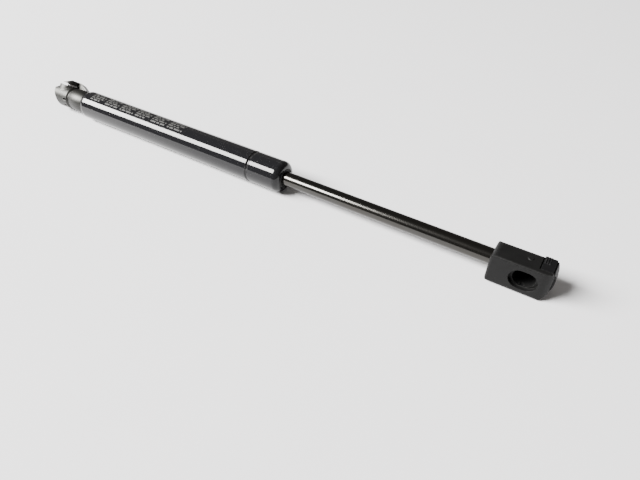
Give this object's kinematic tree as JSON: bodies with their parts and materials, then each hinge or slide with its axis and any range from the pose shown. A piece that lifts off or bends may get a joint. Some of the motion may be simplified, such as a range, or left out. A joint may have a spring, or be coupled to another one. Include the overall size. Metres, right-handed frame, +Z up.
{
  "type": "gas strut stay",
  "caption": "Gas strut stay with a black tube, a sliding polished rod, a grey metal ball socket on the tube end and a black plastic ball socket on the rod end.",
  "frame": {"origin": "centre of the ball seat in the socket at the tube's closed end", "axes": "+X along the strut from the tube end to the rod end, +Z up with the strut lying on its tube, -Y out of the mouth of the rod-end ball socket"},
  "size_m": [0.3418, 0.0206, 0.0201],
  "materials": {
    "tube_paint": "gloss black paint",
    "plain_steel": "plain turned steel",
    "seal_rubber": "matt black nitrile rubber",
    "spring_steel": "bright spring steel",
    "guide_plastic": "matt filled plastic",
    "wiper_plastic": "matt black",
    "cast_zinc": "satin grey cast zinc",
    "ring_plastic": "smooth PTFE",
    "rod_steel": "dark polished nitrided steel",
    "piston_aluminium": "turned aluminium",
    "socket_plastic": "fine-textured black nylon",
    "insert_brass": "turned brass",
    "clip_plastic": "fine-textured black nylon"
  },
  "bodies": {
    "tube": {"pressure_tube": "tube_paint", "base_plug": "plain_steel", "base_plug_seal": "seal_rubber", "bead_stop_washer": "plain_steel", "rod_seal": "seal_rubber", "seal_garter_spring": "spring_steel", "seal_backup_washer": "plain_steel", "rod_guide": "guide_plastic", "rod_wiper": "wiper_plastic", "tube_socket_body": "cast_zinc", "tube_socket_clip": "spring_steel"},
    "piston_ring": {"piston_ring": "ring_plastic"},
    "rod": {"piston_rod": "rod_steel", "piston_rivet": "plain_steel", "piston_back_washer": "plain_steel", "piston_valve_disc": "spring_steel", "piston_body": "piston_aluminium", "piston_front_washer": "plain_steel", "rod_buffer": "seal_rubber", "rod_socket_body": "socket_plastic", "rod_socket_insert": "insert_brass"},
    "rod_clip": {"rod_socket_clip": "clip_plastic"}
  },
  "joints": [
    {"name": "rod_slide", "type": "slide", "parent": "tube", "child": "piston_ring", "axis": [1, 0, 0], "range_m": [-0.11, 0], "stiffness_N_per_m": 150, "springref_m": 0.4},
    {"name": "rod_spin", "type": "hinge", "parent": "piston_ring", "child": "rod", "pos_m": [0.2, 0, 0], "axis": [1, 0, 0], "continuous": true},
    {"name": "rod_clip_slide", "type": "slide", "parent": "rod", "child": "rod_clip", "axis": [1, 0, 0], "range_m": [0, 0.004]}
  ]
}
